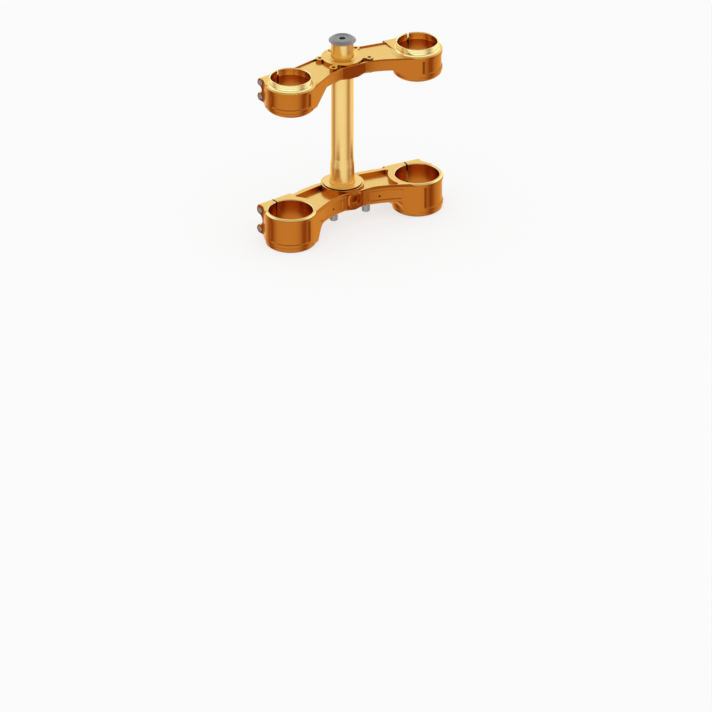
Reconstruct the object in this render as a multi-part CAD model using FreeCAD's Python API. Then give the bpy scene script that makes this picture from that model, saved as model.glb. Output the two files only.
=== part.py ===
import FreeCAD, Part
import math
import os
from FreeCAD import Vector

# Motorcycle triple clamp. Millimetres, X to the right fork, -Y to the front wheel, +Z up along
# the steering axis. The origin is on the steering axis, where the lower bearing seats.

# Layout
fork_spacing = 203.0            # between the two fork bores, axis to axis
fork_offset = 28.7              # the fork bores stand this far ahead of the steering axis
clamp_gap = 151.2               # from the top of the lower rings to the bottom of the upper rings
face_slope = 28.0               # degrees, the flat front face of each arm, seen from above
facet_break = 6.5               # degrees, the bend where the arms leave the flat centre facet

# Upper clamp
upper_bore_r = 27.0
upper_wall = 7.0                # ring wall at the flanges
upper_height = 37.0             # ring, without its collar
upper_arm_t = 18.4              # arm, from the ring's top face down
upper_front = 29.5              # the centre facet stands this far ahead of the steering axis
upper_facet = 36.0              # width of the centre facet
upper_rear = ((0.0, 17.1), (33.6, 17.1), (81.2, 7.6))     # rear edge of the right arm, seen from above
upper_hub_r = 28.4              # round boss about the steering axis
upper_hub_rise = 2.4            # its top above the ring's top face
upper_pocket = 1.8              # depth of the pocket in the top of each arm
upper_rim = 2.0                 # rim left along its front
upper_pocket_rear = ((0.0, 16.1), (33.6, 16.1), (81.2, 6.6))
upper_edge = 1.6                # bevel along the top front edge of the arms
upper_under_edge = 4.0          # bevel along their bottom front edge
bevel_run = 11.4                # it runs out this far into the centre facet
upper_gusset_in = 56.5          # the arm's underside turns down here
upper_gusset_out = 74.5         # and meets the foot of the ring here
upper_bolt_z = (10.0, 30.6)     # pinch bolts above the ring's bottom
upper_ear_out = 22.4            # slit to the outer ear's end face
collar_wall = 1.9
collar_rise = 9.8
collar_groove = 0.35
collar_edge = 0.6
collar_lines = (0.5, 0.72)      # two fine grooves, as shares of the collar's height
lip_height = 1.3
lip_taper = 0.7

# Lower clamp
lower_bore_r = 30.0
lower_wall = 5.2
lower_height = 49.4
lower_arm_t = 26.2
lower_front = 31.6
lower_facet = 26.0
lower_rear = ((0.0, 17.8), (34.0, 17.8), (57.0, 14.2), (80.0, 7.2))
lower_hub_r = 29.2
lower_hub_rise = 2.5
lower_pocket = 5.6
lower_rim = 3.4
lower_pocket_rear = ((0.0, 12.4), (31.0, 11.4), (75.0, 3.2))
lower_edge = 2.8
lower_under_edge = 3.2
lower_gusset_in = 62.5
lower_gusset_out = 70.5
gusset_round = 8.0              # hollow rounding where the lower arm's underside turns down
lower_bolt_z = (13.4, 41.0)
lower_ear_out = 23.4

# Rings
upper_foot = 2.7                # wall left at the very bottom of a ring, inside its bevel
lower_foot = 2.0
foot_wall = 1.25                # its outer side is set in by this much above the bevel
foot_step = 1.0                 # and by this much at the 45 degree step below the flange
foot_h = 6.5                    # the step starts this far above the bottom
band_depth = 1.3                # shallow band turned round the outer side
band_low = 12.6                 # the band starts this far above the bottom
band_top = 5.6                  # and ends this far below the top
upper_band_from = -104.8        # degrees round the bore, 0 is outboard, -90 the front
lower_band_from = -101.2
band_to = -6.0
band_flat = 3.7                 # width of the flat, facing ahead, at the band's inner end
ring_edge = 2.2                 # bevel round the top of the lower rings
cone_slope = 0.257              # the ring's top falls outwards by this much per mm from the lip
lip_r = 30.5                    # foot of the lip under the collar
pocket_wall_r = 39.6            # round wall at the outer end of the lower pocket
pocket_corner = 3.0
bore_chamfer = 0.8
gusset_foot = 5.0               # the arm's underside reaches the ring this far above its bottom

# Pinch ears
ear_turn = 6.0                  # degrees, the slit turns outboard from straight back
slit_w = 2.4
bolt_reach = 37.5               # bolt axis from the bore axis
lobe_r = 6.4
ear_in = 30.6                   # slit to the inner ear's end
ear_corner = 30.0               # the outer ear's upright corner, from the bore axis
ear_edge = 0.9                  # bevel round the outer ear's end face
upper_hollow_r = 5.6            # hollow between the two lobes
upper_waist = 35.1              # its bottom, from the bore axis
lower_hollow_r = 8.2
lower_waist = 32.3
bolt_seat = 12.0                # slit to the seat under the bolt head

# Pinch bolts
bolt_r = 4.0
bolt_play = 0.25                # round the shank, in its own ear
bolt_head_r = 5.4
bolt_head_h = 7.6
bolt_head_edge = 0.6
bolt_tip_out = 0.4              # the tip stands this far past the outer ear
bolt_tip_chamfer = 0.8
bolt_socket_r = 3.4
bolt_socket_depth = 4.2
head_play = 0.2                 # round the head, in its counterbore

# Bar mount and small holes
hole_r = 2.5
hole_x = 57.4                   # spacing of the four holes across
hole_y = 34.0                   # and fore and aft
hole_shift = 5.4                # their middle stands this far ahead of the steering axis
hole_boss_r = 5.5
hole_web = 7.0
face_hole_r = 1.4               # small threaded hole in each arm's front face
face_hole_x = 37.0
face_hole_drop = 14.5           # below the ring's top face
face_hole_depth = 7.0

# Steering stem
stem_r = 15.0
journal_r = 16.2                # lower bearing journal
press_r = 16.5                  # pressed into the lower clamp
shoulder_r = 17.6
shoulder_h = 2.2
shoulder_edge = 0.4
journal_h = 21.5
taper_h = 12.5
stem_bore_r = 9.0
stem_top_over = 22.7            # the stem stands this far above the upper hub
stem_tail = 4.6                 # and this far below the lower clamp
stem_play = 0.3                 # round the stem in the upper clamp
washer_play = 0.15              # round the stem in the dust washer
stem_edge = 0.8
mouth_lip = 1.4                 # height of the lip round the stem's bore in the upper hub
mouth_lip_r = 22.0
mouth_rim = 2.0

# Stem screw
screw_rim_r = 18.5
screw_top_r = 13.8
screw_h = 4.9
screw_edge = 1.1
screw_ring = 1.6                # raised ring round the top
screw_dish = 0.9
screw_thread_r = 10.0
screw_thread_l = 20.0
screw_socket_r = 4.9
screw_socket_depth = 9.0
thread_play = 0.1
thread_runout = 2.0             # the stem's thread goes this much deeper than the screw
screw_tip = 1.0                 # bevel at the screw's end
screw_neck_h = 1.5              # groove under its flange
screw_neck = 0.8
screw_rim_h = 0.6               # upright part of the flange's rim
screw_top_edge = 0.4

# Dust washer
washer_r = 26.6
washer_t = 1.2
washer_hub_r = 21.0
washer_gap = 0.9                # hub below the washer's plate
washer_step = 0.3
washer_land_r = 24.0
washer_edge = 0.3

# Retaining ring under the lower clamp
clip_t = 1.75
clip_in = 1.2                   # depth of its groove in the stem
clip_w = 3.6
clip_gap = 46.0                 # degrees, the opening
clip_lug_r = 2.6
clip_hole_r = 1.0

# Steering stop studs
stud_r = 5.6
stud_x = 25.8
stud_front = 18.4
stud_low = 9.4                  # lower end above the bottom of the rings
stud_seat = 9.0                 # pressed this deep into the clamp
stud_edge = 1.3
stud_round = 0.35               # share of the edge that rounds its lower end

# Stem pinch at the back of the upper clamp
stem_slit_x = -6.0
stem_slit_w = 2.2
stem_bolt_back = 22.6
stem_bolt_down = 11.0           # below the top of the hub
stem_bolt_seat = 8.5            # seat under the head, from the middle
stem_bolt_tip = -17.0           # end of its threaded hole
stem_bolt_short = 1.0           # room left past its tip

# Recessed panels on the lower clamp's front faces
panel_in = 21.0
panel_out = 66.5
panel_top = 6.5                 # below the ring's top face
panel_h = 13.0
panel_depth = 1.4
panel_corner = 4.0
panel_slope = 1.2               # how far its sides lean outwards
window_w = 15.0                 # rounded window in the centre facet, inside a raised rim
window_h = 12.4
window_drop = 11.0              # its middle below the ring's top face
window_depth = 1.2
window_corner = 3.2
window_rim = 4.1                # from the window to the foot of its rim
window_rim_out = 2.2
window_rim_bevel = 2.0
window_hole_r = 5.0             # blind hole in the window
window_hole_depth = 4.5

# Working sizes
over = 1.0                      # cuts run this far past a surface
skin = 0.01                     # two sizes this close count as equal
short_edge = 2.0                # edges shorter than this stay sharp

# Worked out from the sizes above
half = fork_spacing / 2.0
washer_h = washer_t + washer_gap
lower_hub_top = -shoulder_h - washer_h
lower_top = lower_hub_top - lower_hub_rise
lower_bottom = lower_top - lower_height
upper_bottom = lower_top + clamp_gap
upper_top = upper_bottom + upper_height
upper_hub_top = upper_top + upper_hub_rise
stem_top = upper_hub_top + stem_top_over
lower_arm_z = lower_top - lower_arm_t
upper_arm_z = upper_top - upper_arm_t
big = 4.0 * fork_spacing
UP = Vector(0, 0, 1)
SIDES = {"left": -1, "right": 1}


# Basic shapes

def round_bar(radius, start, way, length):
    return Part.makeCylinder(radius, length, start, way)


def upright(radius, low, high, x=0.0, y=0.0):
    return round_bar(radius, Vector(x, y, low), UP, high - low)


def block(x0, x1, y0, y1, z0, z1):
    return Part.makeBox(x1 - x0, y1 - y0, z1 - z0, Vector(x0, y0, z0))


def turned(outline, x=0.0, y=0.0):
    # A closed outline of (radius, height) points, turned about an upright axis
    points = [Vector(r, 0, z) for r, z in outline]
    face = Part.Face(Part.makePolygon(points + points[:1]))
    solid = face.revolve(Vector(0, 0, 0), UP, 360)
    solid.translate(Vector(x, y, 0))
    return solid


def plate(points, low, high):
    # An upright plate over a closed outline of (x, y) points
    corners = [Vector(x, y, low) for x, y in points]
    face = Part.Face(Part.makePolygon(corners + corners[:1]))
    return face.extrude(Vector(0, 0, high - low))


def joined(shapes):
    first = shapes[0]
    if len(shapes) > 1:
        first = first.fuse(shapes[1:])
    return first.removeSplitter()


def mirrored(shape):
    return shape.mirror(Vector(0, 0, 0), Vector(1, 0, 0))


def both_sides(shape):
    return [shape, mirrored(shape)]


# Arms

def line(a, b):
    return Part.LineSegment(a, b).toShape()


def arm_face(front, facet, ring_r, rear, z):
    # Plan of the right half: facet, hollow arc, flat face touching the ring, then the rear edge
    slope = math.radians(face_slope)
    start = math.radians(facet_break)
    bore = Vector(half, -fork_offset, z)
    out = Vector(-math.sin(slope), -math.cos(slope), 0)
    touch = bore + out * ring_r
    corner = Vector(facet / 2.0, -front, z)
    arch = (corner - touch).dot(out) / (1.0 - math.cos(slope - start))

    def on_arch(angle):
        dx = arch * (math.sin(angle) - math.sin(start))
        dy = arch * (math.cos(start) - math.cos(angle))
        return corner + Vector(dx, -dy, 0)

    leave = on_arch(slope)
    middle = Vector(0, -front, z)
    edges = [line(middle, corner), Part.Arc(corner, on_arch((slope + start) / 2.0), leave).toShape()]
    path = [leave, touch, bore] + [Vector(x, y, z) for x, y in reversed(rear)] + [middle]
    for a, b in zip(path[:-1], path[1:]):
        edges.append(line(a, b))
    return Part.Face(Part.Wire(edges))


def near(a, b):
    return abs(a - b) < skin


def arm_space(c):
    # The height of the arm: a level underside that turns down to the foot of the ring
    z = c["arm_z"]
    foot_z = c["bottom"] + gusset_foot
    corners = [(0, z), (c["gusset_in"], z), (c["gusset_out"], foot_z), (big, foot_z), (big, big), (0, big)]
    points = [Vector(x, -big / 2, height) for x, height in corners]
    solid = Part.Face(Part.makePolygon(points + points[:1])).extrude(Vector(0, big, 0))
    if c["gusset_round"] > 0:
        turn = []
        for edge in solid.Edges:
            box = edge.BoundBox
            if near(box.XMin, c["gusset_in"]) and near(box.XMax, c["gusset_in"]) and near(box.ZMax, z):
                turn.append(edge)
        solid = solid.makeFillet(c["gusset_round"], turn)
    return solid


def front_edges(solid, c, z, start):
    # The level edges along the arm's front, from start outwards
    found = []
    for edge in solid.Edges:
        box = edge.BoundBox
        level = near(box.ZMin, z) and near(box.ZMax, z)
        ahead = box.YMax < -c["front"] + skin and box.XMin > start - skin
        if level and ahead and box.XLength > short_edge and box.XMax < half - short_edge:
            found.append(edge)
    return found


def bevel_end(c):
    # Where the lower bevel runs out across the centre facet: a slim wedge with three flat sides
    x = c["facet"] / 2.0
    y = -c["front"]
    z = c["arm_z"]
    size = c["under_edge"]
    points = [Vector(x - bevel_run, y, z), Vector(x, y, z + size), Vector(x, y + size, z)]
    points.append(Vector(x, y - over, z - over))
    faces = []
    for skip in range(4):
        three = [point for k, point in enumerate(points) if k != skip]
        faces.append(Part.Face(Part.makePolygon(three + three[:1])))
    solid = Part.makeSolid(Part.makeShell(faces))
    if solid.Volume < 0:
        solid.reverse()
    return solid


def arms(c):
    face = arm_face(c["front"], c["facet"], c["ring_r"], c["rear"], c["bottom"])
    full = face.extrude(Vector(0, 0, c["height"])).common(arm_space(c))
    solid = full.makeChamfer(c["under_edge"], front_edges(full, c, c["arm_z"], 0))
    ahead = block(0, c["facet"] / 2.0, -big, big, c["bottom"], c["top"])
    solid = solid.fuse(full.common(ahead).cut(bevel_end(c))).removeSplitter()
    solid = solid.makeChamfer(c["edge"], front_edges(solid, c, c["top"], c["facet"] / 2.0))
    if c["collar"] > 0:
        solid = solid.cut(at_bore(upright(c["ring_r"], c["top"] - band_top / 2, c["top"] + over)))
    return both_sides(solid)


def arm_pockets(c, hub):
    # The pocket ends at a cone or a round wall about the ring, and at the inner ear
    floor = c["top"] - c["pocket"]
    face = arm_face(c["front"] - c["rim"], c["facet"], c["ring_r"] - c["rim"], c["pocket_rear"], floor)
    if c["collar"] > 0:
        foot_r = lip_r + c["pocket"] / cone_slope
        wall = turned([(0, floor), (foot_r, floor), (lip_r, c["top"]), (lip_r, big), (0, big)])
    else:
        wall = upright(pocket_wall_r, floor, big)
    ear_end = by_slit(block(-ear_in, big, 0, big, floor, big))
    space = face.extrude(Vector(0, 0, big)).cut([hub, at_bore(wall), ear_end])
    if c["pocket_corner"] > 0:
        corners = []
        for edge in space.Edges:
            box = edge.BoundBox
            if box.ZLength > (big - floor) / 2 and box.XMin > half / 2 and not hub_side(box):
                corners.append(edge)
        space = space.makeFillet(c["pocket_corner"], corners)
    return both_sides(space)


def hub_side(box):
    # True near the steering axis, where the hub has its own outline
    return math.hypot(box.XMin, box.YMin) < lower_hub_r + hole_boss_r


# Rings and ears

def ring_outline(c):
    r = c["ring_r"]
    foot = c["bore_r"] + c["foot"]
    low = c["bottom"]
    top = c["top"]
    wall = r - foot_wall
    outline = [(0, low), (foot, low), (wall, low + wall - foot), (r - foot_step, low + foot_h)]
    outline.append((r, low + foot_h + foot_step))
    if c["collar"] > 0:
        collar_r = c["bore_r"] + collar_wall
        crown = top + c["collar"]
        outline += [(r, top - cone_slope * (r - lip_r)), (lip_r, top)]
        outline += [(lip_r - lip_taper, top + lip_height), (collar_r, top + lip_height + collar_edge)]
        for share in collar_lines:
            z = top + c["collar"] * share
            outline += [(collar_r, z - collar_groove), (collar_r - collar_groove, z)]
            outline.append((collar_r, z + collar_groove))
        outline += [(collar_r, crown - collar_edge), (collar_r - collar_edge, crown), (0, crown)]
    else:
        outline += [(r, top - ring_edge), (r - ring_edge, top), (0, top)]
    return outline


def band(c):
    # The shallow band: a turned sector cut from the ring's outer side, its lower edge at 45 degrees
    inner = c["ring_r"] - band_depth
    outer = c["ring_r"] + band_depth
    low = c["bottom"] + band_low
    high = c["top"] - band_top
    points = [Vector(inner, 0, low), Vector(outer, 0, low - (outer - inner))]
    points += [Vector(outer, 0, high), Vector(inner, 0, high)]
    face = Part.Face(Part.makePolygon(points + points[:1]))
    start = c["band_from"]
    sector = face.revolve(Vector(0, 0, 0), UP, band_to - start)
    sector.rotate(Vector(0, 0, 0), UP, start)
    x = inner * math.cos(math.radians(start))
    y = inner * math.sin(math.radians(start))
    return at_bore(sector.fuse(block(x - band_flat, x, -big, y, low, high)))


def at_bore(shape):
    shape.translate(Vector(half, -fork_offset, 0))
    return shape


def by_slit(shape):
    # From the ear's own frame (X along the bolts, Y along the slit) to the right bore
    shape.rotate(Vector(0, 0, 0), UP, -ear_turn)
    return at_bore(shape)


def ear(c):
    # Both ears in one piece: a flat-topped block touching the ring, then a round lobe at each bolt
    r = c["ring_r"]
    out = c["ear_out"]
    low = c["bottom"] + c["bolt_z"][0] - lobe_r
    reach = math.hypot(out, ear_corner)
    turn = math.atan2(ear_corner, out) - math.acos(min(1.0, r / reach))
    touch = (r * math.cos(turn), r * math.sin(turn))
    corners = [(-ear_in, 0), touch, (out, ear_corner), (out, bolt_reach), (-ear_in, bolt_reach)]
    shapes = [plate(corners, low, c["top"])]
    for z in c["bolt_z"]:
        level = c["bottom"] + z
        lobe_top = max(level + lobe_r, c["top"]) if z == c["bolt_z"][1] else level + lobe_r
        shapes.append(lobe(out, level - lobe_r, lobe_top))
    solid = joined(shapes)
    outline = []
    for edge in solid.Edges:
        box = edge.BoundBox
        if near(box.XMin, out) and near(box.XMax, out) and box.YMax > ear_corner + skin:
            outline.append(edge)
    solid = solid.makeChamfer(ear_edge, outline)
    middle = c["bottom"] + sum(c["bolt_z"]) / 2.0
    r = c["hollow_r"]
    flare = out - ear_edge
    high = flare + 2 * ear_edge
    hollow = turned([(0, -big), (r, -big), (r, flare), (r + 2 * ear_edge, high), (0, high)])
    hollow.rotate(Vector(0, 0, 0), Vector(0, 1, 0), 90)
    hollow.translate(Vector(0, c["waist"] + r, middle))
    return by_slit(solid.cut(hollow))


def lobe(out, low, high):
    # Rounded at its far end
    far = bolt_reach + lobe_r
    bar = block(-ear_in, out, ear_corner, far, low, high)
    corners = [edge for edge in bar.Edges if near(edge.BoundBox.XLength, out + ear_in) and
               near(edge.BoundBox.YMin, far)]
    return bar.makeFillet(lobe_r - skin, corners)


def pinch_cuts(c):
    # The slit, and each bolt's hole and counterbore
    high = c["top"] + 2 * collar_rise
    cuts = [block(-slit_w / 2, slit_w / 2, 0, bolt_reach + 2 * lobe_r, c["bottom"] - over, high)]
    way = Vector(1, 0, 0)
    for z in c["bolt_z"]:
        level = c["bottom"] + z
        seat = Vector(-bolt_seat, bolt_reach, level)
        cuts.append(round_bar(bolt_r, Vector(0, bolt_reach, level), way, c["ear_out"] + lobe_r))
        cuts.append(round_bar(bolt_r + bolt_play, seat - way * over, way, bolt_seat + over))
        cuts.append(round_bar(bolt_head_r + head_play, seat, -way, ear_in - bolt_seat + over))
    return [by_slit(shape) for shape in cuts]


def bore_cuts(c):
    crown = c["top"] + c["collar"]
    r = c["bore_r"]
    low = c["bottom"]
    wide = r + bore_chamfer + over
    outline = [(0, low - over), (wide, low - over), (r, low + bore_chamfer), (r, crown - bore_chamfer)]
    return turned(outline + [(wide, crown + over), (0, crown + over)], half, -fork_offset)


def clamp_solid(c, hub, hub_bore):
    # One clamp: arms, rings, ears and hub joined, then the pockets and holes cut
    ring = at_bore(turned(ring_outline(c)))
    solid = joined(arms(c) + both_sides(ring) + both_sides(ear(c)) + [hub])
    cuts = arm_pockets(c, hub)
    for shape in [band(c), bore_cuts(c)] + pinch_cuts(c):
        cuts += both_sides(shape)
    return solid.cut(cuts).cut(hub_bore)


# The two clamps

def hole_places():
    return [(x * hole_x / 2, y * hole_y / 2 - hole_shift) for x in (-1, 1) for y in (-1, 1)]


def upper_clamp():
    c = dict(bore_r=upper_bore_r, ring_r=upper_bore_r + upper_wall, height=upper_height,
             bottom=upper_bottom, top=upper_top, collar=collar_rise, arm_z=upper_arm_z,
             front=upper_front, facet=upper_facet, rear=upper_rear, pocket=upper_pocket,
             rim=upper_rim, pocket_rear=upper_pocket_rear, pocket_corner=0.0, edge=upper_edge,
             under_edge=upper_under_edge, gusset_in=upper_gusset_in, gusset_out=upper_gusset_out,
             gusset_round=0.0, bolt_z=upper_bolt_z, ear_out=upper_ear_out,
             hollow_r=upper_hollow_r, waist=upper_waist, foot=upper_foot, band_from=upper_band_from)
    shapes = [upright(upper_hub_r, upper_arm_z, upper_hub_top)]
    for x, y in hole_places():
        shapes.append(upright(hole_boss_r, upper_arm_z, upper_hub_top, x, y))
        along = Vector(x, y, 0)
        web = block(0, along.Length, -hole_web / 2, hole_web / 2, upper_arm_z, upper_hub_top)
        web.rotate(Vector(0, 0, 0), UP, math.degrees(math.atan2(y, x)))
        shapes.append(web)
    hub = joined(shapes)
    hub = hub.common(block(-big, big, -upper_front, big, upper_bottom, stem_top))
    lip = turned([(0, upper_arm_z), (mouth_lip_r, upper_arm_z), (mouth_lip_r, upper_hub_top),
                  (stem_r + mouth_rim, upper_hub_top + mouth_lip), (0, upper_hub_top + mouth_lip)])
    under = upper_arm_z - over
    cuts = [upright(stem_r + stem_play, under, stem_top)]
    for x, y in hole_places():
        cuts.append(upright(hole_r, under, stem_top, x, y))
    bolt_z = upper_hub_top - stem_bolt_down
    way = Vector(1, 0, 0)
    seat = Vector(stem_bolt_seat, stem_bolt_back, bolt_z)
    slit = Vector(stem_slit_x, stem_bolt_back, bolt_z)
    cuts.append(block(stem_slit_x - stem_slit_w / 2, stem_slit_x + stem_slit_w / 2, 0,
                      upper_hub_r + hole_boss_r, under, stem_top))
    cuts.append(round_bar(bolt_r, Vector(stem_bolt_tip, stem_bolt_back, bolt_z), way,
                          stem_slit_x - stem_bolt_tip))
    cuts.append(round_bar(bolt_r + bolt_play, slit, way, stem_bolt_seat - stem_slit_x + over))
    cuts.append(round_bar(bolt_head_r + head_play, seat, way, half))
    return clamp_solid(c, joined([hub, lip]), cuts[0].fuse(cuts[1:]))


def rounded_slot(x0, x1, z0, z1, corner, y0, y1):
    box = block(x0, x1, y0, y1, z0, z1)
    edges = [edge for edge in box.Edges if near(edge.BoundBox.YLength, y1 - y0)]
    return box.makeFillet(corner, edges)


def front_panel():
    # The space of the right panel: the arm's own front face set back, behind a rounded window
    face = arm_face(lower_front - panel_depth, lower_facet, lower_bore_r + lower_wall - panel_depth,
                    lower_rear, lower_bottom)
    keep = face.extrude(Vector(0, 0, lower_height))
    top = lower_top - panel_top
    opening = rounded_slot(panel_in, panel_out, top - panel_h, top, panel_corner, -half, 0)
    return opening.cut(keep)


def panel_mouth(solid):
    # The edges of both panels that lie in the arms' front faces
    face = arm_face(lower_front, lower_facet, lower_bore_r + lower_wall, lower_rear, lower_bottom)
    outside = face.extrude(Vector(0, 0, lower_height)).Shells[0]
    top = lower_top - panel_top
    found = []
    for edge in solid.Edges:
        box = edge.BoundBox
        across = (abs(box.XMin), abs(box.XMax))
        level = box.ZMin > top - panel_h - skin and box.ZMax < top + skin
        if level and min(across) > panel_in - skin and max(across) < panel_out + skin and box.YMax < 0:
            middle = edge.valueAt((edge.FirstParameter + edge.LastParameter) / 2.0)
            middle.x = abs(middle.x)
            if outside.distToShape(Part.Vertex(middle))[0] < skin:
                found.append(edge)
    return found


def lower_clamp():
    c = dict(bore_r=lower_bore_r, ring_r=lower_bore_r + lower_wall, height=lower_height,
             bottom=lower_bottom, top=lower_top, collar=0.0, arm_z=lower_arm_z,
             front=lower_front, facet=lower_facet, rear=lower_rear, pocket=lower_pocket,
             rim=lower_rim, pocket_rear=lower_pocket_rear, pocket_corner=pocket_corner, edge=lower_edge,
             under_edge=lower_under_edge, gusset_in=lower_gusset_in, gusset_out=lower_gusset_out,
             gusset_round=gusset_round, bolt_z=lower_bolt_z, ear_out=lower_ear_out,
             hollow_r=lower_hollow_r, waist=lower_waist, foot=lower_foot, band_from=lower_band_from)
    hub = upright(lower_hub_r, lower_arm_z, lower_hub_top)
    under = lower_arm_z - over
    cuts = [upright(press_r, under, lower_hub_top + over)]
    for side in SIDES.values():
        cuts.append(upright(stud_r, under, lower_arm_z + stud_seat, side * stud_x, -stud_front))
    solid = clamp_solid(c, hub, cuts[0].fuse(cuts[1:]))
    drill_z = lower_top - face_hole_drop
    start = Vector(face_hole_x, -lower_front - face_hole_depth, drill_z)
    drill = round_bar(face_hole_r, start, Vector(0, 1, 0), 2 * face_hole_depth)
    solid = solid.cut(both_sides(front_panel()))
    solid = solid.makeChamfer(panel_slope, panel_mouth(solid)).cut(both_sides(drill))
    return facet_window(solid)


def facet_window(solid):
    # A rounded window with a raised rim in the centre facet, and a blind hole in it
    middle = lower_top - window_drop
    y = -lower_front
    w = window_w / 2
    h = window_h / 2
    rim = rounded_slot(-w - window_rim, w + window_rim, middle - h - window_rim, middle + h + window_rim,
                       window_corner + window_rim, y - window_rim_out, y + window_rim)
    front = [edge for edge in rim.Edges if near(edge.BoundBox.YMax, y - window_rim_out)]
    rim = rim.makeChamfer(window_rim_bevel, front)
    window = rounded_slot(-w, w, middle - h, middle + h, window_corner, -half, y + window_depth)
    hole = round_bar(window_hole_r, Vector(0, -half, middle), Vector(0, 1, 0),
                     half + y + window_depth + window_hole_depth)
    return joined([solid, rim]).cut([window, hole])


# Stem and what is on it

def steering_stem():
    low = lower_arm_z - stem_tail
    e = stem_edge
    clip_z = lower_arm_z
    groove_r = press_r - clip_in
    outline = [(0, low), (press_r - e, low), (press_r, low + e), (press_r, clip_z - clip_t)]
    outline += [(groove_r, clip_z - clip_t), (groove_r, clip_z), (press_r, clip_z)]
    outline += [(press_r, -shoulder_h), (shoulder_r, -shoulder_h), (shoulder_r, -shoulder_edge)]
    outline.append((shoulder_r - shoulder_edge, 0))
    outline += [(journal_r, 0), (journal_r, journal_h), (stem_r, journal_h + taper_h)]
    outline += [(stem_r, stem_top - e), (stem_r - e, stem_top), (0, stem_top)]
    solid = turned(outline)
    bore = upright(stem_bore_r, low - over, stem_top + over)
    thread_low = stem_top - screw_thread_l - thread_runout
    thread = upright(screw_thread_r + thread_play, thread_low, stem_top + over)
    return solid.cut([bore, thread])


def stem_screw():
    z = stem_top
    top = z + screw_h
    end = z - screw_thread_l
    neck_r = screw_thread_r - screw_neck
    rim_z = z + screw_edge
    dish_r = screw_top_r - screw_ring
    outline = [(0, end), (screw_thread_r - screw_tip, end), (screw_thread_r, end + screw_tip)]
    outline += [(screw_thread_r, z - screw_neck_h), (neck_r, z - screw_neck_h), (neck_r, z)]
    outline += [(screw_rim_r - screw_edge, z), (screw_rim_r, rim_z), (screw_rim_r, rim_z + screw_rim_h)]
    outline += [(screw_top_r + screw_top_edge, top), (dish_r, top)]
    outline += [(dish_r - screw_dish, top - screw_dish), (0, top - screw_dish)]
    return turned(outline).cut(hexagon(screw_socket_r, top - screw_socket_depth, top + over))


def hexagon(corner_r, low, high):
    points = []
    for k in range(6):
        angle = math.radians(60 * k + 30)
        points.append((corner_r * math.cos(angle), corner_r * math.sin(angle)))
    return plate(points, low, high)


def dust_washer():
    low = lower_hub_top
    plate_z = low + washer_gap
    top = plate_z + washer_t
    r = washer_r
    e = washer_edge
    rim_top = top - washer_step
    inner = press_r + washer_play
    outline = [(inner, low), (washer_hub_r, low), (washer_hub_r, plate_z), (r - e, plate_z)]
    outline += [(r, plate_z + e), (r, rim_top - e), (r - e, rim_top), (washer_land_r, rim_top)]
    outline += [(washer_land_r - washer_step, top), (inner, top)]
    return turned(outline)


def stem_clip():
    high = lower_arm_z
    inner = press_r - clip_in
    outer = inner + clip_w
    low = high - clip_t
    spread = math.radians(clip_gap / 2)
    mouth = plate([(0, 0), (big * math.sin(-spread), big * math.cos(spread)),
                   (big * math.sin(spread), big * math.cos(spread))], low - over, high + over)
    ring = upright(outer, low, high).cut(mouth)
    lugs = []
    holes = []
    place = inner + clip_lug_r
    for side in SIDES.values():
        angle = spread + clip_lug_r / place
        x = side * place * math.sin(angle)
        y = place * math.cos(angle)
        lugs.append(upright(clip_lug_r, low, high, x, y))
        holes.append(upright(clip_hole_r, low - over, high + over, x, y))
    inside = upright(inner, low - over, high + over)
    return joined([ring] + lugs).cut([inside] + holes)


def turned_bolt(length):
    # Along +X from the seat under its head at the origin
    end = -bolt_head_h
    outline = [(0, end), (bolt_head_r - bolt_head_edge, end), (bolt_head_r, end + bolt_head_edge)]
    outline += [(bolt_head_r, 0), (bolt_r, 0), (bolt_r, length - bolt_tip_chamfer)]
    outline += [(bolt_r - bolt_tip_chamfer, length), (0, length)]
    solid = turned(outline).cut(hexagon(bolt_socket_r, end - over, end + bolt_socket_depth))
    solid.rotate(Vector(0, 0, 0), Vector(0, 1, 0), 90)
    return solid


def pinch_bolt(z, ear_out, side):
    bolt = turned_bolt(bolt_seat + ear_out + bolt_tip_out)
    bolt.translate(Vector(-bolt_seat, bolt_reach, z))
    bolt = by_slit(bolt)
    return bolt if side > 0 else mirrored(bolt)


def stem_pinch_bolt():
    bolt = turned_bolt(stem_bolt_seat - stem_bolt_tip - stem_bolt_short)
    bolt.rotate(Vector(0, 0, 0), UP, 180)
    bolt.translate(Vector(stem_bolt_seat, stem_bolt_back, upper_hub_top - stem_bolt_down))
    return bolt


def stop_stud(side):
    low = lower_bottom + stud_low
    high = lower_arm_z + stud_seat
    e = stud_edge
    middle = stud_round * e
    outline = [(0, low), (stud_r - e, low), (stud_r - middle, low + middle), (stud_r, low + e)]
    outline += [(stud_r, high), (0, high)]
    return turned(outline, side * stud_x, -stud_front)


# Write every piece to its own file

def all_nodes():
    nodes = {"upper_clamp": upper_clamp(), "lower_clamp": lower_clamp(), "steering_stem": steering_stem(),
             "stem_screw": stem_screw(), "dust_washer": dust_washer(), "stem_retaining_ring": stem_clip(),
             "stem_pinch_bolt": stem_pinch_bolt()}
    for name, side in SIDES.items():
        nodes["stop_stud_" + name] = stop_stud(side)
        for level, place in enumerate(("low", "high")):
            high = pinch_bolt(upper_bottom + upper_bolt_z[level], upper_ear_out, side)
            low = pinch_bolt(lower_bottom + lower_bolt_z[level], lower_ear_out, side)
            nodes["upper_pinch_bolt_" + name + "_" + place] = high
            nodes["lower_pinch_bolt_" + name + "_" + place] = low
    return nodes


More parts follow.
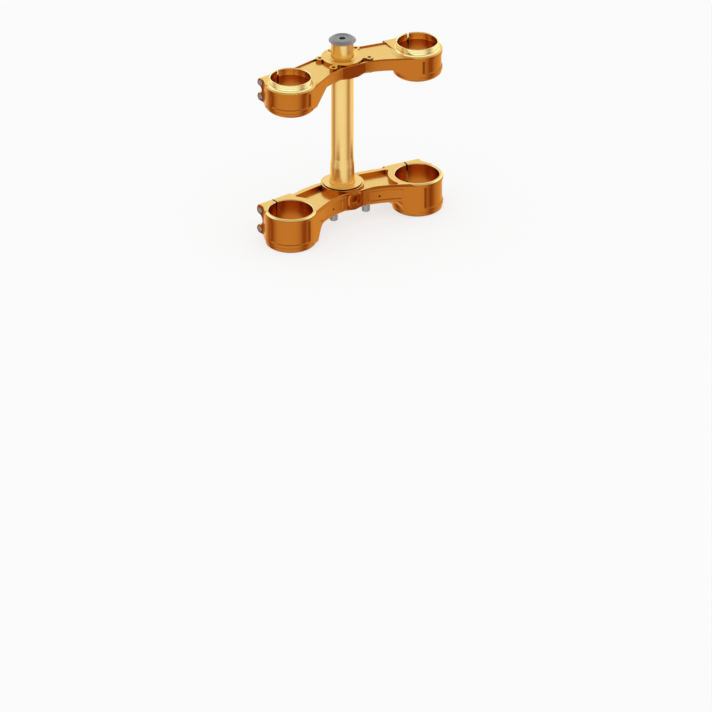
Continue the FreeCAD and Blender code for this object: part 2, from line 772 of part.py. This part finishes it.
os.makedirs("parts", exist_ok=True)
for node, shape in all_nodes().items():
    if shape.ShapeType == "Compound" and len(shape.Solids) == 1:
        shape = shape.Solids[0]
    print(node, shape.ShapeType, len(shape.Solids), shape.isValid(), round(shape.Volume / 1000.0, 2), "cm3")
    shape.exportStep("parts/" + node + ".step")
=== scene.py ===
import bpy
import bmesh
import math
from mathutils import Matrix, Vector


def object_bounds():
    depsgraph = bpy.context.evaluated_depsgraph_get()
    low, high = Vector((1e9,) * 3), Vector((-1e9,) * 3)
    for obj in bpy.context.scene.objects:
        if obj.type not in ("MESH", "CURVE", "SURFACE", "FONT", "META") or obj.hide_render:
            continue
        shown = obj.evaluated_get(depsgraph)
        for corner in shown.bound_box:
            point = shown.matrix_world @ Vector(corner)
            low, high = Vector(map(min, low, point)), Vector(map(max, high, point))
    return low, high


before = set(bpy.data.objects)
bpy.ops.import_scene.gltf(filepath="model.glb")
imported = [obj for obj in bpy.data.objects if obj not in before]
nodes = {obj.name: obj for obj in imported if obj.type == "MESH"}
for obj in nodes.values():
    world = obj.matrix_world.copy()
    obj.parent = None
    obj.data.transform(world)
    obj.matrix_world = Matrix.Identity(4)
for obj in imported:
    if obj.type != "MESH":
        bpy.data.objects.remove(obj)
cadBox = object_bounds()
print("frame loaded:", len(nodes), "pieces")


# Shader maths

class Wire:
    # One output socket; sums, differences and products on it add their Math nodes
    def __init__(self, tree, socket):
        self.tree = tree
        self.socket = socket

    def joined(self, operation, other, reflected=False):
        pair = (other, self) if reflected else (self, other)
        return self.node("ShaderNodeMath", {"operation": operation}, {0: pair[0], 1: pair[1]})

    def __add__(self, other):
        return self.joined("ADD", other)

    def __radd__(self, other):
        return self.joined("ADD", other, True)

    def __sub__(self, other):
        return self.joined("SUBTRACT", other)

    def __rsub__(self, other):
        return self.joined("SUBTRACT", other, True)

    def __mul__(self, other):
        return self.joined("MULTIPLY", other)

    def __rmul__(self, other):
        return self.joined("MULTIPLY", other, True)

    def node(self, kind, settings=None, sockets=None, output=0):
        made = self.tree.nodes.new(kind)
        for name, value in (settings or {}).items():
            setattr(made, name, value)
        for name, value in (sockets or {}).items():
            if isinstance(value, Wire):
                self.tree.links.new(value.socket, made.inputs[name])
            elif made.inputs[name].type == "VECTOR":
                made.inputs[name].default_value = value[:3]
            else:
                made.inputs[name].default_value = value
        return Wire(self.tree, made.outputs[output])

    def between(self, low, high):
        # 0 at low and 1 at high, eased
        return self.node("ShaderNodeMapRange", {"interpolation_type": "SMOOTHSTEP"},
                         {"Value": self, "From Min": low, "From Max": high})

    def power(self, exponent):
        return self.joined("POWER", exponent)

    def size(self):
        return self.node("ShaderNodeMath", {"operation": "ABSOLUTE"}, {0: self})

    def larger(self, other):
        return self.joined("MAXIMUM", other)

    def dot(self, way):
        return self.node("ShaderNodeVectorMath", {"operation": "DOT_PRODUCT"}, {0: self, 1: way}, "Value")

    def part(self, axis):
        return self.node("ShaderNodeSeparateXYZ", {}, {0: self}, axis)

    def mixed(self, first, second):
        # The colour first where this is 0 and second where it is 1
        return self.node("ShaderNodeMix", {"data_type": "RGBA"}, {"Factor": self, 6: first, 7: second}, 2)


def startTree(owner):
    owner.use_nodes = True
    owner.node_tree.nodes.clear()
    return Wire(owner.node_tree, None)


def finish(start, shader, kind="ShaderNodeOutputMaterial"):
    output = start.tree.nodes.new(kind)
    start.tree.links.new(shader.socket, output.inputs["Surface"])


def rgb(red, green, blue):
    return (red, green, blue, 1.0)


# What all finishes share: rounded edges, painted shade in recesses, noise, slight bumps

surface = {
    "edgeRadius": 0.00045,
    "edgeSamples": 6,
    "bumpDistance": 0.0001,
    "cloudDetail": 2.0,
    "grainDetail": 3.0,
}

# Painted shade for recesses: a near-black colour mixed in where little space is open round a point
recessShade = {
    "reach": 0.008,
    "samples": 8,
    "open": (0.12, 0.62),                 # how open a place is where it is darkest, and where it isn't dark any more
    "colour": rgb(0.030, 0.010, 0.002),
    "share": 0.92,
}


def surfaceBase(start):
    place = start.node("ShaderNodeTexCoord", output="Object")
    edge = start.node("ShaderNodeBevel", {"samples": surface["edgeSamples"]}, {"Radius": surface["edgeRadius"]})
    facing = start.node("ShaderNodeNewGeometry", output="Normal")
    return place, edge, facing


def noise(start, place, scale, detail):
    return start.node("ShaderNodeTexNoise", {}, {"Vector": place, "Scale": scale, "Detail": detail})


def fineRings(start, along, scale, roughness):
    # The fine rings that turning leaves, one after the other in this direction
    return start.node("ShaderNodeTexNoise", {"noise_dimensions": "1D"}, {
        "W": along, "Scale": scale, "Detail": surface["cloudDetail"], "Roughness": roughness})


def shaded(start, colour, shade):
    return start.node("ShaderNodeVectorMath", {"operation": "SCALE"}, {0: colour, "Scale": shade})


def paintedRecessShade(start, colour):
    # Painted shade: darker in holes, slits and narrow corners, where ambient occlusion finds little open space
    clear = start.node("ShaderNodeAmbientOcclusion", {"samples": recessShade["samples"]},
                       {"Distance": recessShade["reach"]}, "AO")
    tight = (1 - clear.between(*recessShade["open"])) * recessShade["share"]
    return tight.mixed(colour, recessShade["colour"])


def bumped(start, strength, height, edge):
    return start.node("ShaderNodeBump", {}, {
        "Strength": strength, "Distance": surface["bumpDistance"], "Height": height, "Normal": edge})


def metal(start, colour, roughness, normal, rim):
    # rim tints what the metal mirrors at a grazing angle
    return start.node("ShaderNodeBsdfPrincipled", {}, {
        "Base Color": colour, "Metallic": 1.0, "Roughness": roughness, "Specular Tint": rim, "Normal": normal})


# The two clamps

anodised = {
    "side": rgb(0.53, 0.165, 0.019),      # milled and turned sides
    "top": rgb(0.82, 0.575, 0.215),       # painted light: faces that look up, painted paler as if lit from above
    "turned": rgb(1.0, 0.90, 0.44),       # collars and bevels, turned bright
    "worn": rgb(0.80, 0.50, 0.16),        # thin lines where edges have rubbed
    "rim": rgb(1.0, 0.80, 0.55),
    "sideRoughness": 0.22,
    "turnedRoughness": 0.17,
    "grainRoughness": 0.05,
    "toolRoughness": 0.10,
    "grainScale": 900.0,
    "cloudScale": 26.0,
    "cloudShade": 0.05,
    "toolShade": 0.05,
    "grainBump": 0.5,                     # the grain's height, where that of the tool marks is 1
    "bump": 0.07,
}

# Each pair: where the mask is 0 and where it is 1, by how far a face looks up or by how much an edge is rounded
clampMasks = {
    "flat": (0.90, 0.95),
    "bevel": (0.5, 0.6),
    "level": (0.6, 0.8),
    "rubbed": (0.01, 0.10),
    "patches": (0.42, 0.62),
    "rubbedShare": 0.35,
}

toolMarks = {"ringScale": 4200.0, "ringRoughness": 0.6, "trackScale": (60.0, 1500.0, 1500.0)}

# The rings' bores, and in the same way the masks on them, by the distance from the bore's axis and by the height
ringAxis = {"across": 0.1015, "ahead": -0.0287}
upperRing = {"outer": (0.0366, 0.0360), "collar": (0.0310, 0.0307), "collarFrom": (0.1811, 0.1813)}
lowerRing = {"bevel": (0.0348, 0.0346), "bevelFrom": (-0.0092, -0.0090), "bevelTo": (-0.0066, -0.0067)}


def boreDistance(place):
    # Distance from the axis of the nearer ring's bore
    across = place.part("X").size() - ringAxis["across"]
    ahead = place.part("Y") - ringAxis["ahead"]
    return (across * across + ahead * ahead).power(0.5)


def turnedLines(start, away, height, upward):
    # By height on upright walls, by distance from the axis on level faces
    level = upward.size().between(*clampMasks["level"])
    along = height + level * (away - height)
    return fineRings(start, along, toolMarks["ringScale"], toolMarks["ringRoughness"])


def milledLines(start, place):
    # The shallow tracks of a milling cutter that ran from side to side
    tracks = start.node("ShaderNodeVectorMath", {"operation": "MULTIPLY"}, {0: place, 1: toolMarks["trackScale"]})
    return noise(start, tracks, 1.0, surface["cloudDetail"])


def brightTurned(away, height, upward, flat):
    # The collars of the upper clamp and the bevel round the top of the lower rings
    collar = away.between(*upperRing["collar"]) * height.between(*upperRing["collarFrom"])
    bevel = (1 - flat) * upward.between(*clampMasks["bevel"]) * away.between(*lowerRing["bevel"])
    bevel = bevel * height.between(*lowerRing["bevelFrom"]) * height.between(*lowerRing["bevelTo"])
    return collar + bevel


def makeAnodisedClamp():
    material = bpy.data.materials.new("orangeAnodised")
    start = startTree(material)
    place, edge, facing = surfaceBase(start)
    height = place.part("Z")
    upward = facing.part("Z")
    away = boreDistance(place)
    grain = noise(start, place, anodised["grainScale"], surface["grainDetail"])
    cloud = noise(start, place, anodised["cloudScale"], surface["cloudDetail"])
    onRing = away.between(*upperRing["outer"])
    tooled = milledLines(start, place)
    tooled = tooled + onRing * (turnedLines(start, away, height, upward) - tooled)
    # Painted light: faces that look up are painted paler than the sides, as if lit from above
    flat = upward.between(*clampMasks["flat"])
    turned = brightTurned(away, height, upward, flat)
    rubbed = (1 - edge.dot(facing)).between(*clampMasks["rubbed"]) * cloud.between(*clampMasks["patches"])
    colour = flat.mixed(anodised["side"], anodised["top"])
    colour = turned.mixed(colour, anodised["turned"])
    colour = paintedRecessShade(start, (rubbed * clampMasks["rubbedShare"]).mixed(colour, anodised["worn"]))
    shade = (cloud - 0.5) * anodised["cloudShade"] + (tooled - 0.5) * anodised["toolShade"] + 1.0
    roughness = anodised["sideRoughness"] - turned * (anodised["sideRoughness"] - anodised["turnedRoughness"])
    roughness = roughness + (grain - 0.5) * anodised["grainRoughness"] + (tooled - 0.5) * anodised["toolRoughness"]
    normal = bumped(start, anodised["bump"], grain * anodised["grainBump"] + tooled, edge)
    finish(start, metal(start, shaded(start, colour, shade), roughness, normal, anodised["rim"]))
    return material


# Stem and dust washer

stemFinish = {"colour": rgb(0.90, 0.62, 0.22), "rim": rgb(1.0, 0.62, 0.25), "roughness": 0.29}
washerFinish = {"colour": rgb(0.88, 0.64, 0.28), "rim": rgb(1.0, 0.80, 0.55), "roughness": 0.24}
turning = {
    "lineScale": 5200.0,
    "lineNoise": 0.5,
    "cloudScale": 18.0,
    "cloudShade": 0.05,
    "lineShade": 0.06,
    "lineRoughness": 0.08,
    "bump": 0.08,
}


def makeTurnedMetal(name, finishOf):
    material = bpy.data.materials.new(name)
    start = startTree(material)
    place, edge, facing = surfaceBase(start)
    lines = fineRings(start, place.part("Z"), turning["lineScale"], turning["lineNoise"])
    cloud = noise(start, place, turning["cloudScale"], surface["cloudDetail"])
    shade = (cloud - 0.5) * turning["cloudShade"] + (lines - 0.5) * turning["lineShade"] + 1.0
    colour = paintedRecessShade(start, shaded(start, finishOf["colour"], shade))
    roughness = finishOf["roughness"] + (lines - 0.5) * turning["lineRoughness"]
    normal = bumped(start, turning["bump"], lines, edge)
    finish(start, metal(start, colour, roughness, normal, finishOf["rim"]))
    return material


# Screw, bolts, studs and retaining ring

steelFinish = {
    "colour": rgb(0.35, 0.362, 0.375),
    # Lighter colour for the edges: wear, and a painted highlight along them
    "worn": rgb(0.72, 0.74, 0.77),
    "rim": rgb(1.0, 1.0, 1.0),
    "roughness": 0.50,
    "grainRoughness": 0.1,
    "grainScale": 1400.0,
    "cloudScale": 60.0,
    "cloudShade": 0.2,
    "grainShade": 0.12,
    "rubbed": (0.01, 0.12),
    "rubbedShare": 0.6,
    "bump": 0.1,
}


def makeSteel():
    material = bpy.data.materials.new("greySteel")
    start = startTree(material)
    place, edge, facing = surfaceBase(start)
    grain = noise(start, place, steelFinish["grainScale"], surface["grainDetail"])
    cloud = noise(start, place, steelFinish["cloudScale"], surface["cloudDetail"])
    shade = (cloud - 0.5) * steelFinish["cloudShade"] + (grain - 0.5) * steelFinish["grainShade"] + 1.0
    colour = shaded(start, steelFinish["colour"], shade)
    # Edges painted lighter: partly wear, partly a painted highlight along them
    rubbed = (1 - edge.dot(facing)).between(*steelFinish["rubbed"]) * steelFinish["rubbedShare"]
    colour = paintedRecessShade(start, rubbed.mixed(colour, steelFinish["worn"]))
    roughness = steelFinish["roughness"] + (grain - 0.5) * steelFinish["grainRoughness"]
    normal = bumped(start, steelFinish["bump"], grain, edge)
    finish(start, metal(start, colour, roughness, normal, steelFinish["rim"]))
    return material


clampMetal = makeAnodisedClamp()
stemMetal = makeTurnedMetal("turnedGold", stemFinish)
washerMetal = makeTurnedMetal("turnedOrange", washerFinish)
steelMetal = makeSteel()
metalOf = {
    "upper_clamp": clampMetal,
    "lower_clamp": clampMetal,
    "steering_stem": stemMetal,
    "dust_washer": washerMetal,
}
for name, piece in nodes.items():
    piece.data.materials.clear()
    piece.data.materials.append(metalOf.get(name, steelMetal))
print("finishes set")


# Floor, light and camera

studio = {
    "floorZ": cadBox[0][2],
    "floorSize": 60.0,
    "floorColour": rgb(0.93, 0.93, 0.93),
    "floorGlow": 0.72,                    # the share of plain white that the camera sees on the floor
    "world": 0.9,
    "white": 1.0,
    "lampPower": 2.2,
    "lampSize": 1.6,
    "lampAt": (-0.6, -0.5, 1.6),
    "lampAim": (0, 0, 0.05),
}

# What the metal mirrors, by direction: white all round with two soft areas a little brighter, and warm and dark
# overhead, underneath and at two narrow places
mirrored = {
    "pale": rgb(1.0, 1.0, 1.0),
    "dark": rgb(0.38, 0.14, 0.055),
    "darkWays": ((0.495, -0.751, -0.438), (-0.682, 0.585, -0.438)),
    "darkPeak": 18.0,                     # a higher peak is a narrower place
    "overhead": rgb(0.54, 0.41, 0.32),
    "overheadFrom": (0.60, 0.80),
    "underneath": (0.75, 0.93),
    "underneathShare": 0.45,
    "behind": rgb(1.14, 1.19, 1.14),      # seen in the part's far sides
    "behindWay": (0.62, 0.65, -0.438),
    "behindReach": (0.45, 0.85),
    "front": rgb(1.04, 1.08, 1.12),
    "frontWay": (-0.69, -0.58, -0.438),
    "frontPeak": 5.0,
}


def makeFloor():
    mesh = bmesh.new()
    bmesh.ops.create_grid(mesh, x_segments=1, y_segments=1, size=studio["floorSize"] / 2)
    bmesh.ops.translate(mesh, verts=mesh.verts, vec=(0, 0, studio["floorZ"]))
    data = bpy.data.meshes.new("floor")
    mesh.to_mesh(data)
    mesh.free()
    floor = bpy.data.objects.new("floor", data)
    bpy.context.scene.collection.objects.link(floor)
    material = bpy.data.materials.new("paleFloor")
    start = startTree(material)
    camera = start.node("ShaderNodeLightPath", output="Is Camera Ray")
    glossy = start.node("ShaderNodeLightPath", output="Is Glossy Ray")
    lit = start.node("ShaderNodeBsdfDiffuse", {}, {"Color": studio["floorColour"]})
    glow = start.node("ShaderNodeEmission", {}, {"Color": rgb(1, 1, 1), "Strength": studio["white"]})
    clear = start.node("ShaderNodeBsdfTransparent", {}, {"Color": rgb(1, 1, 1)})
    seen = start.node("ShaderNodeMixShader", {}, {0: camera * studio["floorGlow"], 1: lit, 2: glow})
    finish(start, start.node("ShaderNodeMixShader", {}, {0: glossy, 1: seen, 2: clear}))
    floor.data.materials.append(material)


def towards(way, centre, peak):
    # 1 in the direction centre and less all round it
    return way.dot(centre).larger(0.0).power(peak)


def mirroredColour(way):
    up = way.part("Z")
    dark = (0 - up).between(*mirrored["underneath"]) * mirrored["underneathShare"]
    for centre in mirrored["darkWays"]:
        dark = dark.larger(towards(way, centre, mirrored["darkPeak"]))
    behind = way.dot(mirrored["behindWay"]).between(*mirrored["behindReach"])
    colour = towards(way, mirrored["frontWay"], mirrored["frontPeak"]).mixed(mirrored["pale"], mirrored["front"])
    colour = behind.mixed(colour, mirrored["behind"])
    colour = up.between(*mirrored["overheadFrom"]).mixed(colour, mirrored["overhead"])
    return dark.mixed(colour, mirrored["dark"])


def makeWorld():
    world = bpy.data.worlds.new("studio")
    bpy.context.scene.world = world
    start = startTree(world)
    way = start.node("ShaderNodeTexCoord", output="Generated")
    way = start.node("ShaderNodeVectorMath", {"operation": "NORMALIZE"}, {0: way})
    camera = start.node("ShaderNodeLightPath", output="Is Camera Ray")
    glossy = start.node("ShaderNodeLightPath", output="Is Glossy Ray")
    plain = start.node("ShaderNodeBackground", {}, {"Color": rgb(1, 1, 1), "Strength": studio["world"]})
    white = start.node("ShaderNodeBackground", {}, {"Color": rgb(1, 1, 1), "Strength": studio["white"]})
    mirror = start.node("ShaderNodeBackground", {}, {"Color": mirroredColour(way), "Strength": studio["white"]})
    shader = start.node("ShaderNodeMixShader", {}, {0: glossy, 1: plain, 2: mirror})
    shader = start.node("ShaderNodeMixShader", {}, {0: camera, 1: shader, 2: white})
    finish(start, shader, "ShaderNodeOutputWorld")


def makeLamp():
    data = bpy.data.lights.new("softLamp", "AREA")
    data.size = studio["lampSize"]
    data.energy = studio["lampPower"]
    lamp = bpy.data.objects.new("softLamp", data)
    lamp.location = studio["lampAt"]
    lamp.rotation_euler = (Vector(studio["lampAim"]) - lamp.location).to_track_quat("-Z", "Y").to_euler()
    lamp.visible_glossy = False
    bpy.context.scene.collection.objects.link(lamp)


cameraView = {
    "azimuth": -33.06,
    "elevation": 25.96,
    "lens": 1500.0,
    "pixelsPerMetre": 743.5,
    "frame": 712,                   # the picture's width and height in pixels
    "originAt": (342.4, 178.94),    # where the row's origin stands in the picture
    "aim": (0, 0, 0.08),            # the point that the camera stands back from
    "clip": (0.5, 3.0),             # near and far, as shares of the distance
}


def makeCamera():
    data = bpy.data.cameras.new("camera")
    data.lens = cameraView["lens"]
    turn = math.radians(cameraView["azimuth"])
    tilt = math.radians(cameraView["elevation"])
    back = Vector((math.sin(turn) * math.cos(tilt), -math.cos(turn) * math.cos(tilt), math.sin(tilt)))
    right = Vector((math.cos(turn), math.sin(turn), 0))
    up = back.cross(right)
    scale = cameraView["pixelsPerMetre"]
    distance = cameraView["frame"] * data.lens / data.sensor_width / scale
    aim = Vector(cameraView["aim"])
    aimAt = (cameraView["originAt"][0] + aim.dot(right) * scale, cameraView["originAt"][1] - aim.dot(up) * scale)
    half = cameraView["frame"] / 2
    # The camera stands back from aim and is turned to what is at the picture's centre
    target = aim + (right * (half - aimAt[0]) - up * (half - aimAt[1])) / scale
    data.clip_start = distance * cameraView["clip"][0]
    data.clip_end = distance * cameraView["clip"][1]
    camera = bpy.data.objects.new("camera", data)
    camera.location = aim + back * distance
    camera.rotation_euler = (camera.location - target).to_track_quat("Z", "Y").to_euler()
    bpy.context.scene.collection.objects.link(camera)
    bpy.context.scene.camera = camera


makeFloor()
makeWorld()
makeLamp()
makeCamera()
bpy.context.scene.view_settings.view_transform = "Standard"
print("floor, light and camera set")
